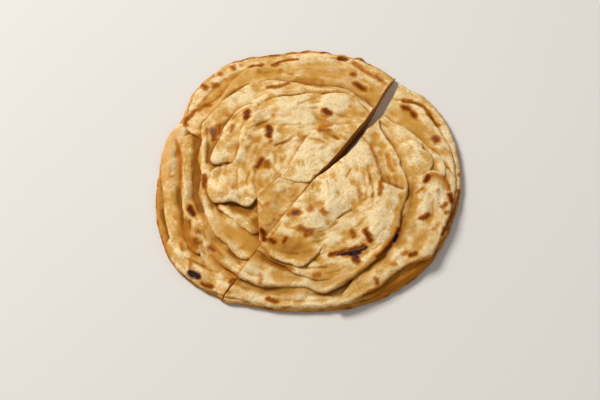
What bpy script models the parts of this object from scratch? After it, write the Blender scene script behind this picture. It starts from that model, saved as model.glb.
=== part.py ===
"""A coiled, layered flatbread cut straight across into two halves that still lie together."""
import math

import bmesh
import bpy
from mathutils import Matrix, Vector

MM = 0.001

# Heights of the rested dough, from the flat underside up, in millimetres.
BASE_TOP = 4.6
OUTER_TURN_TOP = 6.2
SECOND_TURN_TOP = 8.4
INNER_TURN_TOP = 11.0
CENTRE_TOP = 13.2
PILLOW_TOP = 14.8
TONGUE_TOP = 14.2
RIGHT_FOLD_TOP = 14.0
LEFT_SHEET_TOP = 7.6
LOWER_FLAP_TOP = 9.4

# How the edge of every turn is rounded and how far each turn sinks into the one below.
EDGE_ROUNDING = 1.3
SHOULDER_IN = 0.4
SHOULDER_DOWN = 0.35
FLAT_IN = 1.4
EDGE_TUCK = 1.6
TURN_FOOT = 1.0
FOOT_STEP = 0.15
POINTS_PER_SPAN = 3
CROWN_RINGS = ((0.72, 0.65), (0.35, 0.95))
TURN_CROWN = 0.6
FOLD_CROWN = 0.4

# The knife cut: closed up to its middle and gaping beyond it. Beyond the middle each half's edge
# runs through these points: the distance along the cut, and the offset towards the back half.
CUT_MIDDLE = (4.1, -3.4)
CUT_ANGLE = 55.2
BACK_CUT_EDGE = ((0, 0), (12, -1.6), (30, -2.1), (56, -2.4), (68, -0.8), (85, 2.2), (100, 3.8))
FRONT_CUT_EDGE = (
    (0, 0), (6, -3.0), (14, -4.4), (26, -7.4), (36, -7.8), (52, -6.0), (61, -7.8), (72, -7.4), (86, -4.8), (100, -2.0),
)
CUT_CLEARANCE = 0.5
CUTTER_REACH = 160.0
CUTTER_DEPTH = 5.0
CUTTER_TOP = 40.0

# Outlines in millimetres, counter-clockwise from the upper right end of the cut.
BASE_OUTLINE = (
    (64, 82), (42, 99), (22, 106), (0, 110), (-24, 107), (-48, 102), (-70, 89), (-85, 69),
    (-93, 49), (-103, 28), (-105, 4), (-106, -18), (-102, -44), (-91, -70), (-72, -88),
    (-48, -98), (-22, -103), (6, -104), (34, -99), (60, -86), (80, -68), (95, -42),
    (103, -12), (103, 18), (97, 44), (84, 67),
)
OUTER_TURN_OUTLINE = (
    (61, 80), (41, 96), (21, 103), (0, 107), (-24, 104), (-46, 99), (-67, 86), (-82, 67),
    (-86, 55), (-96, 38), (-102, 22), (-102, 3), (-99, -16), (-97, -38), (-90, -62),
    (-72, -82), (-48, -94), (-22, -99), (6, -100), (32, -94), (56, -81), (78, -62),
    (92, -40), (100, -12), (100, 18), (93, 44), (80, 67),
)
SECOND_TURN_OUTLINE = (
    (58, 74), (40, 87), (24, 97), (4, 101), (-18, 98), (-40, 93), (-56, 81), (-68, 64),
    (-82, 53), (-89, 32), (-88, 8), (-87, -22), (-83, -52), (-70, -72), (-50, -86),
    (-24, -94), (2, -95), (26, -92), (47, -82), (70, -66), (86, -46), (92, -18),
    (95, 8), (91, 34), (80, 56),
)
INNER_TURN_OUTLINE = (
    (45, 54), (31, 68), (14, 73), (-10, 76), (-34, 77), (-52, 68), (-66, 54), (-75, 38),
    (-76, 14), (-74, -8), (-73, -30), (-60, -52), (-50, -72), (-32, -84), (-6, -87),
    (8, -91), (24, -84), (42, -68), (57, -46), (62, -26), (65, -8), (60, 12), (55, 28),
)
CENTRE_OUTLINE = (
    (36, 50), (26, 62), (4, 65), (-22, 62), (-38, 50), (-49, 34), (-62, 20), (-68, 4),
    (-67, -16), (-56, -24), (-40, -27), (-33, -44), (-28, -64), (-8, -74), (14, -70),
    (36, -54), (46, -28), (48, -6), (44, 14),
)
PILLOW_OUTLINE = ((6, -6), (-12, -22), (-28, -48), (-22, -62), (-6, -70), (8, -60), (22, -40), (28, -20))
TONGUE_OUTLINE = ((-40, 54), (-52, 48), (-62, 33), (-69, 15), (-69, 6), (-63, 4), (-56, 14), (-51, 30))
RIGHT_FOLD_OUTLINE = ((35, 30), (42, 22), (46, 8), (48, -5), (46, -18), (38, -32), (26, -30), (24, -4), (28, 16))
LEFT_SHEET_OUTLINE = ((-86, 42), (-97, 30), (-101, 8), (-97, -20), (-92, -48), (-84, -56), (-82, -20), (-84, 20))
LOWER_FLAP_OUTLINE = ((84, -50), (72, -63), (52, -76), (32, -90), (24, -88), (40, -72), (60, -56), (76, -44))

CRUST_COLOUR = (0.62, 0.37, 0.13, 1.0)
CRUST_ROUGHNESS = 0.62


def clear_scene():
    for thing in list(bpy.data.objects):
        bpy.data.objects.remove(thing, do_unlink=True)


def smooth_closed_curve(corners):
    """Points of a closed curve that runs smoothly through the given corners."""
    count = len(corners)
    curve = []
    for index in range(count):
        before, start, end, after = (Vector(corners[(index + step) % count]) for step in (-1, 0, 1, 2))
        for part in range(POINTS_PER_SPAN):
            t = part / POINTS_PER_SPAN
            point = 2 * start + (end - before) * t
            point += (2 * before - 5 * start + 4 * end - after) * t * t
            point += (3 * start - before - 3 * end + after) * t * t * t
            curve.append(point / 2)
    return curve


def add_ring(mesh, curve, middle, inward, height):
    """A closed loop of edges: the curve drawn in towards its middle, at one height."""
    verts = []
    for point in curve:
        arm = point - middle
        place = middle + arm * (1 - inward / arm.length)
        verts.append(mesh.verts.new((place.x * MM, place.y * MM, height * MM)))
    return [mesh.edges.new((verts[index - 1], verts[index])) for index in range(len(verts))]


def add_scaled_ring(mesh, curve, middle, scale, height):
    """A closed loop of edges: the curve scaled about its middle, at one height."""
    verts = []
    for point in curve:
        place = middle + (point - middle) * scale
        verts.append(mesh.verts.new((place.x * MM, place.y * MM, height * MM)))
    return [mesh.edges.new((verts[index - 1], verts[index])) for index in range(len(verts))]


def dough_leaf(name, corners, foot, top, crown):
    """One leaf of dough: a closed solid with a tucked foot, a rounded edge and a low crown."""
    curve = smooth_closed_curve(corners)
    middle = sum(curve, Vector((0, 0))) / len(curve)
    mesh = bmesh.new()
    loops = [
        add_ring(mesh, curve, middle, EDGE_TUCK, foot),
        add_ring(mesh, curve, middle, 0.0, top - EDGE_ROUNDING),
        add_ring(mesh, curve, middle, EDGE_ROUNDING * SHOULDER_IN, top - EDGE_ROUNDING * SHOULDER_DOWN),
        add_ring(mesh, curve, middle, EDGE_ROUNDING * FLAT_IN, top),
    ]
    for scale, share in CROWN_RINGS:
        loops.append(add_scaled_ring(mesh, curve, middle, scale, top + crown * share))
    for lower, upper in zip(loops, loops[1:]):
        bmesh.ops.bridge_loops(mesh, edges=lower + upper)
    bmesh.ops.contextual_create(mesh, geom=loops[0])
    bmesh.ops.contextual_create(mesh, geom=loops[-1])
    bmesh.ops.recalc_face_normals(mesh, faces=mesh.faces)
    data = bpy.data.meshes.new(name)
    mesh.to_mesh(data)
    mesh.free()
    leaf = bpy.data.objects.new(name, data)
    bpy.context.scene.collection.objects.link(leaf)
    return leaf


def apply_boolean(target, tool, operation):
    """Join or cut the target by the tool for good, and remove the tool."""
    modifier = target.modifiers.new(operation.title(), "BOOLEAN")
    modifier.operation = operation
    modifier.solver = "EXACT"
    modifier.object = tool
    shaped = bpy.data.meshes.new_from_object(target.evaluated_get(bpy.context.evaluated_depsgraph_get()))
    target.modifiers.remove(modifier)
    target.data = shaped
    bpy.data.objects.remove(tool, do_unlink=True)


def whole_bread(name):
    """Every turn of the coil and every raised fold, joined into one solid."""
    bread = dough_leaf(name, BASE_OUTLINE, 0.0, BASE_TOP, TURN_CROWN)
    leaves = (
        ("outer_turn", OUTER_TURN_OUTLINE, OUTER_TURN_TOP, TURN_CROWN),
        ("second_turn", SECOND_TURN_OUTLINE, SECOND_TURN_TOP, TURN_CROWN),
        ("inner_turn", INNER_TURN_OUTLINE, INNER_TURN_TOP, TURN_CROWN),
        ("centre", CENTRE_OUTLINE, CENTRE_TOP, TURN_CROWN),
        ("tongue", TONGUE_OUTLINE, TONGUE_TOP, FOLD_CROWN),
        ("right_fold", RIGHT_FOLD_OUTLINE, RIGHT_FOLD_TOP, FOLD_CROWN),
        ("pillow", PILLOW_OUTLINE, PILLOW_TOP, TURN_CROWN),
        ("left_sheet", LEFT_SHEET_OUTLINE, LEFT_SHEET_TOP, FOLD_CROWN),
        ("lower_flap", LOWER_FLAP_OUTLINE, LOWER_FLAP_TOP, FOLD_CROWN),
    )
    for level, (leaf_name, corners, top, crown) in enumerate(leaves):
        foot = TURN_FOOT + FOOT_STEP * level
        apply_boolean(bread, dough_leaf(leaf_name, corners, foot, top, crown), "UNION")
    return bread


def direction(degrees):
    return Vector((math.cos(math.radians(degrees)), math.sin(math.radians(degrees))))


def cut_side(name, side, edge):
    """A block that takes away everything on one side of the cut, up to its clearance."""
    along = direction(CUT_ANGLE)
    aside = direction(CUT_ANGLE + 90)
    middle = Vector(CUT_MIDDLE) + aside * side * CUT_CLEARANCE / 2
    corners = [middle - along * CUTTER_REACH]
    for distance, offset in edge:
        corners.append(middle + along * distance + aside * offset)
    corners.append(corners[-1] + along * (CUTTER_REACH - edge[-1][0]))
    far_side = -aside * side * CUTTER_REACH
    corners.append(corners[-1] + far_side)
    corners.append(corners[0] + far_side)
    mesh = bmesh.new()
    verts = [mesh.verts.new((corner.x * MM, corner.y * MM, -CUTTER_DEPTH * MM)) for corner in corners]
    face = mesh.faces.new(verts)
    raised = bmesh.ops.extrude_face_region(mesh, geom=[face])
    top = [item for item in raised["geom"] if isinstance(item, bmesh.types.BMVert)]
    bmesh.ops.translate(mesh, verts=top, vec=(0, 0, (CUTTER_DEPTH + CUTTER_TOP) * MM))
    bmesh.ops.recalc_face_normals(mesh, faces=mesh.faces)
    data = bpy.data.meshes.new(name)
    mesh.to_mesh(data)
    mesh.free()
    block = bpy.data.objects.new(name, data)
    block.hide_render = True
    block.display_type = "WIRE"
    bpy.context.scene.collection.objects.link(block)
    return block


def crust_material(name):
    material = bpy.data.materials.new(name)
    material.use_nodes = True
    shader = material.node_tree.nodes["Principled BSDF"]
    shader.inputs["Base Color"].default_value = CRUST_COLOUR
    shader.inputs["Roughness"].default_value = CRUST_ROUGHNESS
    shader.inputs["Metallic"].default_value = 0.0
    return material


def half_bread(name, side, edge):
    """The bread on one side of the cut: side 1 is the back half, side -1 the front half."""
    half = whole_bread(name)
    apply_boolean(half, cut_side(name + "_cutter", side, edge), "DIFFERENCE")
    half.data.materials.clear()
    half.data.materials.append(crust_material(name + "_crust"))
    half.data.shade_smooth()
    half.data.set_sharp_from_angle(angle=math.radians(35))
    return half


def centre_on_origin(halves):
    """Move both halves together so that the origin is at the middle of the whole underside."""
    places = [vert.co for half in halves for vert in half.data.vertices]
    middle_x = (min(place.x for place in places) + max(place.x for place in places)) / 2
    middle_y = (min(place.y for place in places) + max(place.y for place in places)) / 2
    for half in halves:
        half.data.transform(Matrix.Translation((-middle_x, -middle_y, 0.0)))


clear_scene()
back_half = half_bread("back_half", 1, BACK_CUT_EDGE)
front_half = half_bread("front_half", -1, FRONT_CUT_EDGE)
centre_on_origin((back_half, front_half))
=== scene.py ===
import math

import bmesh
import bpy
import numpy as np
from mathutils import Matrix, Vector


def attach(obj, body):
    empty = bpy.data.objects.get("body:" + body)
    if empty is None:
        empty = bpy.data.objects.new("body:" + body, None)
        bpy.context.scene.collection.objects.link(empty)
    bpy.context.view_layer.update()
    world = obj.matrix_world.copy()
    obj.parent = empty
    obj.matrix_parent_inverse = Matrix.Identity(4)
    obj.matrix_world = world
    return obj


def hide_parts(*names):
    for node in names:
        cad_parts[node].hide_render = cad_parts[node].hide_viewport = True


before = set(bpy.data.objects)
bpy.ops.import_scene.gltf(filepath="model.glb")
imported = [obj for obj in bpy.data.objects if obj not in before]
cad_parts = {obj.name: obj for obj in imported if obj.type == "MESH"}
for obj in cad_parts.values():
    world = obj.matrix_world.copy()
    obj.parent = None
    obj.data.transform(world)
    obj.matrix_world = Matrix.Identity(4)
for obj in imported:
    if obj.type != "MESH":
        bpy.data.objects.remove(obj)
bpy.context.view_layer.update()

mm = 0.001

# The whole bread. Its outlines, marks and distances are in millimetres. The floor, the lights, the
# camera and the skin's patterns are in metres.
bread = {
    "shift": (1.13, -2.87),     # moves the outlines' own origin to the frame's origin
    "lean": 0.62,               # an outline or mark leans back this much for each mm of height
    "leanLevel": 6.0,           # the height at which outlines and marks need no lean
    "turnMiddle": (-4, -4),     # what the rolled turns go round
    "seed": 11,
    "frontSeed": 500,           # added to the seed for the front half
    "wrinkleSeed": 900,         # added to the seed for the short wrinkles
    "leafSeedStep": 13,         # added for each leaf further up
    "puff": 0.55,               # gentle unevenness of each leaf
    "wrinkle": 0.30,            # fine creasing of the baked skin
}

gridHalf = 125
gridLine = np.arange(-gridHalf, gridHalf + 1, dtype=float)
gridX, gridY = np.meshgrid(gridLine, gridLine, indexing="ij")


def softNoise(x, y, size, seed):
    # smooth random lumps about one size across, from -1 to 1
    repeat = 97
    lattice = np.random.default_rng(seed).uniform(-1, 1, (repeat, repeat))
    turned = (x * 0.8 + y * 0.6) / size + 1000.3
    across = (y * 0.8 - x * 0.6) / size + 1000.7
    column = np.floor(turned).astype(int)
    row = np.floor(across).astype(int)
    u = turned - column
    v = across - row
    u = u * u * u * (u * (u * 6 - 15) + 10)
    v = v * v * v * (v * (v * 6 - 15) + 10)
    c0, c1, r0, r1 = column % repeat, (column + 1) % repeat, row % repeat, (row + 1) % repeat
    near = lattice[c0, r0] * (1 - u) + lattice[c1, r0] * u
    far = lattice[c0, r1] * (1 - u) + lattice[c1, r1] * u
    return near * (1 - v) + far * v


def closedCurve(corners, perSpan=6):
    # a smooth closed curve through the corners
    points = np.array(corners, dtype=float)
    before, after, further = np.roll(points, 1, 0), np.roll(points, -1, 0), np.roll(points, -2, 0)
    spans = []
    for step in range(perSpan):
        t = step / perSpan
        span = 2 * points + (after - before) * t
        span = span + (2 * before - 5 * points + 4 * after - further) * t * t
        span = span + (3 * points - before - 3 * after + further) * t ** 3
        spans.append(span / 2)
    return np.stack(spans, 1).reshape(-1, 2)


def evenCurve(curve, count):
    # the same closed curve with evenly spaced points
    ring = np.vstack([curve, curve[:1]])
    lengths = np.hypot(*np.diff(ring, axis=0).T)
    along = np.concatenate([[0], np.cumsum(lengths)])
    wanted = np.linspace(0, along[-1], count, endpoint=False)
    return np.stack([np.interp(wanted, along, ring[:, 0]), np.interp(wanted, along, ring[:, 1])], 1)


def curveLength(curve):
    return float(np.hypot(*(curve - np.roll(curve, 1, 0)).T).sum())


def depthInside(outline):
    # distance from the outline over the grid: positive inside, negative outside
    nearest = np.full(gridX.shape, 1e9, dtype=np.float32)
    column, row = gridX.astype(np.float32)[..., None], gridY.astype(np.float32)[..., None]
    atOnce = 32
    for start in range(0, len(outline), atOnce):
        some = outline[start:start + atOnce].astype(np.float32)
        distance = (column - some[:, 0]) ** 2 + (row - some[:, 1]) ** 2
        nearest = np.minimum(nearest, distance.min(-1))
    inside = np.zeros(gridX.shape, dtype=bool)
    following = np.roll(outline, -1, 0)
    for index, level in enumerate(gridLine + 0.001):    # just off the grid, so no corner is met exactly
        crossing = (outline[:, 1] > level) != (following[:, 1] > level)
        first, second = outline[crossing], following[crossing]
        share = (level - first[:, 1]) / (second[:, 1] - first[:, 1])
        hits = first[:, 0] + share * (second[:, 0] - first[:, 0])
        inside[:, index] = (gridLine[:, None] < hits).sum(1) % 2 == 1
    return np.where(inside, 1, -1) * np.sqrt(nearest)


def nearby(x, y, points, reach):
    low = np.min(points, 0) - reach
    high = np.max(points, 0) + reach
    return np.nonzero((x > low[0]) & (x < high[0]) & (y > low[1]) & (y < high[1]))[0]


def lineDistance(x, y, points):
    # distance to a run of straight stretches, or to one point
    if len(points) == 1:
        return np.hypot(x - points[0][0], y - points[0][1])
    nearest = np.full(np.shape(x), 1e9)
    for (x0, y0), (x1, y1) in zip(points, points[1:]):
        length2 = (x1 - x0) ** 2 + (y1 - y0) ** 2
        t = np.clip(((x - x0) * (x1 - x0) + (y - y0) * (y1 - y0)) / length2, 0, 1)
        nearest = np.minimum(nearest, np.hypot(x - x0 - t * (x1 - x0), y - y0 - t * (y1 - y0)))
    return nearest


def blur(field, sigma):
    reach = int(math.ceil(sigma * 3))
    taps = np.exp(-0.5 * (np.arange(-reach, reach + 1) / sigma) ** 2)
    taps /= taps.sum()
    for axis in (0, 1):
        padded = np.pad(field, [(reach, reach) if a == axis else (0, 0) for a in (0, 1)], mode="edge")
        length = field.shape[axis]
        field = sum(tap * np.take(padded, np.arange(k, k + length), axis) for k, tap in enumerate(taps))
    return field


def blurWithin(field, inside, sigma):
    weight = blur(inside.astype(float), sigma)
    return np.where(weight > 1e-4, blur(field * inside, sigma) / np.maximum(weight, 1e-4), field)


def readGrid(field, x, y):
    u = np.clip(x + gridHalf, 0, 2 * gridHalf - 1e-6)
    v = np.clip(y + gridHalf, 0, 2 * gridHalf - 1e-6)
    i, j = u.astype(int), v.astype(int)
    fu, fv = u - i, v - j
    low = field[i, j] * (1 - fu) + field[i + 1, j] * fu
    high = field[i, j + 1] * (1 - fu) + field[i + 1, j + 1] * fu
    return low * (1 - fv) + high * fv


def softMax(a, b, width):
    gap = np.clip(0.5 + (a - b) / (2 * width), 0, 1)
    return b * (1 - gap) + a * gap + width * gap * (1 - gap)


def bump(distance, width):
    # 1 on the line and fading out over about one width
    return np.exp(-(distance / width) ** 2)


def leanShift(level):
    return -bread["lean"] * (level - bread["leanLevel"])


def seenAcross(y, z):
    # where a point of this height is seen, on the plane that marks and creases are placed on
    return y + bread["lean"] * (z - bread["leanLevel"])


# How a leaf lies on the leaves below it. "press" is for a leaf that has none of its own.
drape = {
    "columnStep": 1.15,         # spacing of the points round its edge
    "ragged": [(5.0, 0.45), (2.4, 0.22)],   # size and amount of its edge's unevenness
    "puffSize": 17, "driftSize": 26, "overhang": 0.7, "bedBlur": 1.3, "blur": 1.1, "blend": 0.5,
    "edgeReach": 3.0, "edgeSink": (0.42, 0.16),     # how deep the edge beds in, and how that varies
    "press": 0.5, "pressDrift": 0.3, "pressReach": 5.0,
    "meltDepth": 0.3,           # a melted edge ends this far inside the bed
}


def leafOutline(leaf, seed):
    # the leaf's own edge, leaned to its height and made slightly ragged
    shift = np.array([0.0, leanShift(leaf.get("lean", leaf["level"]))])
    curve = closedCurve(leaf["edge"]) + shift
    curve = evenCurve(curve, int(curveLength(curve) / drape["columnStep"]))
    middle = np.array(leaf["middle"]) + shift
    arm = curve - middle
    reach = np.hypot(*arm.T)[:, None]
    (broadSize, broad), (fineSize, fine) = drape["ragged"]
    ragged = softNoise(curve[:, 0], curve[:, 1], broadSize, seed) * broad
    ragged = ragged + softNoise(curve[:, 0], curve[:, 1], fineSize, seed + 1) * fine
    return middle + arm * (1 + ragged[:, None] / reach), middle


def drapeLeaf(leaf, outline, bed, seed):
    # the height of the leaf's middle surface, resting on what is below it
    depth = depthInside(outline)
    inside = depth > -drape["overhang"]
    if leaf.get("flatUnder"):
        middleHeight = np.full(gridX.shape, leaf["thick"] / 2)
        return middleHeight, np.where(inside, leaf["thick"], bed)
    wanted = np.full(gridX.shape, float(leaf["level"]))
    lean = leanShift(leaf["level"])
    for height, width, points in leaf.get("shape", []):
        line = [(x, y + lean) for x, y in points]
        wanted += height * bump(lineDistance(gridX, gridY, line), width)
    wanted += bread["puff"] * softNoise(gridX, gridY, drape["puffSize"], seed + 2)
    drift = softNoise(gridX, gridY, drape["driftSize"], seed + 3)
    inward = np.maximum(depth, 0)
    nearEdge = bump(inward, drape["edgeReach"])
    softBed = blur(bed, drape["bedBlur"])
    sink, sinkDrift = drape["edgeSink"]
    resting = softBed + leaf["thick"] * (0.5 - (sink + sinkDrift * drift) * nearEdge)
    press = np.clip(leaf.get("press", drape["press"]) * (1 + drape["pressDrift"] * drift), 0, 1)
    press = press * bump(inward, drape["pressReach"])
    height = wanted * (1 - press) + resting * press
    height = softMax(height, resting, drape["blend"])
    for reach, points in leaf.get("sink", []):      # stretches that melt into the leaf below
        line = [(x, y + lean) for x, y in points]
        melt = bump(lineDistance(gridX, gridY, line), reach)
        height = height * (1 - melt) + (softBed - leaf["thick"] / 2 - drape["meltDepth"]) * melt
    height = blurWithin(height, inside, drape["blur"])
    return height, np.where(inside, np.maximum(bed, height + leaf["thick"] / 2), bed)


# How a leaf's mesh is laid out and rounded off. "bulge" is for a leaf that has none of its own.
leafMesh = {
    "rowStep": 1.25, "fewestRows": 6, "underRows": 8,
    "usualArm": 70,             # percentile of the arms' lengths that sets the number of rows
    "edgeInsets": [0.18, 0.5, 1.0, 1.7, 2.6],       # rows of the rounded edge, measured in from it
    "rounding": 1.25,           # how far in the edge is rounded, for each mm of half thickness
    "bulge": 0.18, "bulgeAt": 2.2, "bulgeWidth": 1.6,
    "underWrinkle": 0.5, "griddleRelief": 0.12,     # the lower skin's unevenness
    "lowestTop": 1.2, "lowest": 0.02,
}

# Short wrinkles scattered round the rolled turns.
wrinkles = {
    "count": 120, "radius": (34, 98), "length": (7, 20), "drift": 0.16, "depth": (0.16, 0.42),
    "width": (0.6, 1.0),
}

# Fine creases pressed into the top skin: depth, width and the points that they run through.
creases = [
    (0.7, 0.8, [(8, 70), (17, 72.4), (25, 71), (31, 67)]),
    (0.5, 0.8, [(-22, 68.4), (-12, 69.4), (-4, 70.6)]), (0.6, 1.0, [(-62, 66), (-52, 75), (-44, 79)]),
    (0.5, 0.9, [(-9, 60), (-4, 64), (3, 66)]), (0.8, 0.7, [(18, -33), (22, -29.6), (27.4, -26.2)]),
    (0.6, 0.8, [(-3.4, -71.2), (3, -71), (10, -70.6)]),
    (0.9, 1.0, [(13, -60), (20, -58.8), (28, -57), (35, -54.8)]), (0.9, 1.3, [(27, -59), (29, -65)]),
    (0.7, 0.9, [(2.6, 0.6), (2.8, -4), (1.2, -8)]), (0.5, 0.8, [(72, -13), (76, -9.4)]),
    (0.6, 0.8, [(77.6, 28), (78.4, 23)]), (0.6, 0.8, [(94.6, 8), (98, 2), (101, -3)]),
    (0.5, 1.2, [(53, 17), (53.4, 10), (55.6, 5)]), (0.6, 0.9, [(24, 0), (27, 6)]),
    (0.5, 0.8, [(12, -8), (11, -3)]), (0.7, 1.2, [(-72.6, 40), (-71.4, 26), (-71.6, 12)]),
    (0.5, 1.0, [(-26, -46), (-21, -38)]), (0.5, 1.1, [(-58, -64), (-66, -54)]),
    (0.5, 1.0, [(-84, -64), (-76, -68), (-66, -74)]), (0.5, 1.2, [(-80, 60), (-72, 72), (-62, 84)]),
    (1.1, 0.8, [(66, 64.4), (74, 63.2), (80, 59), (85, 51), (89, 43)]),
    (0.8, 1.4, [(48.6, -3), (55, -6), (62, -9.4)]), (0.4, 1.0, [(10, -96), (-6, -97), (-22, -95)]),
]


def turnWrinkles(seed):
    # short wrinkles that follow the rolled turns of the dough
    random = np.random.default_rng(seed)
    middleX, middleY = bread["turnMiddle"]
    found = []
    for _ in range(wrinkles["count"]):
        radius = random.uniform(*wrinkles["radius"])
        start = random.uniform(0, 2 * math.pi)
        length = random.uniform(*wrinkles["length"])
        drift = random.uniform(-wrinkles["drift"], wrinkles["drift"])
        depth = random.uniform(*wrinkles["depth"])
        width = random.uniform(*wrinkles["width"])
        points = []
        for share in (0, 0.25, 0.5, 0.75, 1):
            angle = start + share * length / radius
            away = radius + drift * share * length + 0.5 * math.sin(share * 7 + start)
            points.append((middleX + away * math.cos(angle), middleY + away * math.sin(angle)))
        found.append((depth, width, points))
    return found


def creaseFades(x, seenY, widen=1.0):
    # for each crease, the points near it, its depth and how much of it reaches them
    for depth, width, points in creases:
        pick = nearby(x, seenY, points, width * 3)
        yield pick, depth, bump(lineDistance(x[pick], seenY[pick], points), width * widen)


def setPlaces(mesh, places):
    for vert, place in zip(mesh.verts, places):
        vert.co = place


pointValues = ("inset", "topSide", "relief")    # kept on each point for its colour


def wrapGrid(columns, rings):
    # a grid with a column for each point of the outline and a ring for each row of the leaf
    mesh = bmesh.new()
    bmesh.ops.create_grid(mesh, x_segments=columns, y_segments=rings, size=1.0)
    flat = np.array([vert.co for vert in mesh.verts])
    column = np.rint((flat[:, 0] + 1) / 2 * columns).astype(int) % columns
    ring = np.rint((flat[:, 1] + 1) / 2 * rings).astype(int)
    return mesh, column, ring


def rowInset(fromEdge, rowsOnSide, reach):
    # how far in each row lies: close together at the edge, then evenly spaced to the middle
    steps = np.array([0.0] + leafMesh["edgeInsets"])
    last = len(steps) - 1
    inner = np.clip((fromEdge - last) / (rowsOnSide + 1 - last), 0, 1)
    even = steps[last] + (reach - steps[last]) * inner
    return np.minimum(np.where(fromEdge <= last, steps[np.clip(fromEdge, 0, last)], even), reach)


def halfThickness(leaf, inset):
    # rounded off at the edge and a little swollen just inside it
    half = leaf["thick"] / 2
    rounding = half * leafMesh["rounding"]
    bulge = leaf.get("bulge", leafMesh["bulge"])
    swell = 1 + bulge * bump(inset - leafMesh["bulgeAt"], leafMesh["bulgeWidth"])
    return half * np.sqrt(np.clip(1 - (1 - np.minimum(inset / rounding, 1)) ** 2, 0, 1)) * swell


def skinWrinkle(x, y, inset, seed):
    # creases that follow the turns, small lumps and a soft swell
    middleX, middleY = bread["turnMiddle"]
    around = np.arctan2(y - middleY, x - middleX)
    radius = np.hypot(y - middleY, x - middleX)
    away = np.clip(inset / 2.5, 0.25, 1)
    wrinkle = softNoise(radius * 0.94 + around * 6, around * 17, 2.4, seed + 5) * bread["wrinkle"] * away
    wrinkle = wrinkle + softNoise(x, y, 4.6, seed + 6) * bread["wrinkle"] * 1.2 * away
    return wrinkle + softNoise(x, y, 9.0, seed + 7) * bread["puff"] * 0.6


def bakeLeaf(leaf, outline, middle, heightField, seed):
    # a grid wrapped round the leaf: rows over its top, round the edge and back along its underside
    arm = outline - middle
    reach = np.hypot(*arm.T)
    edgeRows = len(leafMesh["edgeInsets"])
    armRows = int(np.percentile(reach, leafMesh["usualArm"]) / leafMesh["rowStep"])
    topRows = edgeRows + max(leafMesh["fewestRows"], armRows)
    underRows = edgeRows + leafMesh["underRows"]
    mesh, column, ring = wrapGrid(len(outline), topRows + underRows + 2)
    isTop = ring <= topRows
    fromEdge = np.where(isTop, topRows + 1 - ring, ring - topRows - 1)      # 0 at the very edge
    inset = rowInset(fromEdge, np.where(isTop, topRows, underRows), reach[column])
    share = 1 - inset / reach[column]
    x = middle[0] + arm[column, 0] * share
    y = middle[1] + arm[column, 1] * share
    thickness = halfThickness(leaf, inset)
    wrinkle = skinWrinkle(x, y, inset, seed)
    lift = np.where(fromEdge == 0, 0, wrinkle * np.where(isTop, 1, leafMesh["underWrinkle"]))
    z = readGrid(heightField, x, y) + np.where(isTop, thickness, -thickness) + lift
    for pick, depth, fade in creaseFades(x, seenAcross(y, z)):
        z[pick] -= np.where(isTop[pick], depth * fade, 0)
    if leaf.get("flatUnder"):
        relief = leafMesh["griddleRelief"]
        under = relief + relief * softNoise(x, y, 7, seed + 8)
        under = under + (leaf["thick"] / 2 * 0.9) * np.exp(-inset / 1.1)
        z = np.where(isTop, np.maximum(z, leafMesh["lowestTop"]), np.where(fromEdge == 0, z * 0.8, under))
    z = np.maximum(z, leafMesh["lowest"])
    setPlaces(mesh, np.stack([x * mm, y * mm, z * mm], 1))
    insetLayer, topLayer, reliefLayer = [mesh.verts.layers.float.new(key) for key in pointValues]
    # the wrinkle height, kept to paint light on raised ridges and shade in the dips
    relief = wrinkle / (2.2 * bread["wrinkle"])
    for vert, insetHere, top, reliefHere in zip(mesh.verts, inset, isTop | (fromEdge <= 1), relief):
        vert[insetLayer] = insetHere
        vert[topLayer] = 1.0 if top else 0.0
        vert[reliefLayer] = reliefHere
    bmesh.ops.remove_doubles(mesh, verts=mesh.verts, dist=0.001 * mm)
    return mesh


# The knife cut: closed up to its middle and gaping beyond it. Each half's edge is given by points:
# the distance along the cut, and the offset towards the back half.
knife = {
    "middle": (4.1, -3.4),
    "angle": 55.2,
    "backEdge": [(0, 0), (12, -1.6), (30, -2.1), (56, -2.4), (68, -0.8), (85, 2.2), (100, 3.8)],
    "frontEdge": [
        (0, 0), (6, -3.0), (14, -4.4), (26, -7.4), (36, -7.8), (52, -6.0), (61, -7.8), (72, -7.4), (86, -4.8),
        (100, -2.0),
    ],
    "clearance": 0.52,      # from the cut's line to either half
    "ragged": 0.10,         # how much that differs from leaf to leaf
}


def alongKnife(x, y):
    # place along the cut from its middle, and distance towards the back half
    angle = math.radians(knife["angle"])
    fromX = x - knife["middle"][0]
    fromY = y - knife["middle"][1]
    along = fromX * math.cos(angle) + fromY * math.sin(angle)
    return along, fromY * math.cos(angle) - fromX * math.sin(angle)


def bendToKnife(mesh, side, way):
    # moves the dough sideways, so that a half's curved edge becomes straight or curved again
    angle = math.radians(knife["angle"])
    distances, offsets = np.array(knife["backEdge"] if side > 0 else knife["frontEdge"]).T
    places = np.array([vert.co for vert in mesh.verts])
    along = alongKnife(places[:, 0] / mm, places[:, 1] / mm)[0]
    move = way * np.interp(along, distances, offsets) * mm
    places[:, 0] -= move * math.sin(angle)
    places[:, 1] += move * math.cos(angle)
    setPlaces(mesh, places)


def cutByKnife(mesh, side, seed):
    # keep one side of the cut, and close the dough where the knife went through
    jitter = float(np.random.default_rng(seed).uniform(-1, 1)) * knife["ragged"]
    angle = math.radians(knife["angle"])
    outward = Vector((math.sin(angle), -math.cos(angle), 0.0)) * side
    start = Vector((knife["middle"][0], knife["middle"][1], 0.0)) - outward * (knife["clearance"] + jitter)
    bendToKnife(mesh, side, -1)
    geometry = mesh.verts[:] + mesh.edges[:] + mesh.faces[:]
    cut = bmesh.ops.bisect_plane(mesh, geom=geometry, plane_co=start * mm, plane_no=outward, clear_outer=True)
    rim = [item for item in cut["geom_cut"] if isinstance(item, bmesh.types.BMEdge)]
    filled = bmesh.ops.holes_fill(mesh, edges=rim, sides=0)
    bmesh.ops.triangulate(mesh, faces=filled["faces"])
    bendToKnife(mesh, side, 1)
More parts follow.
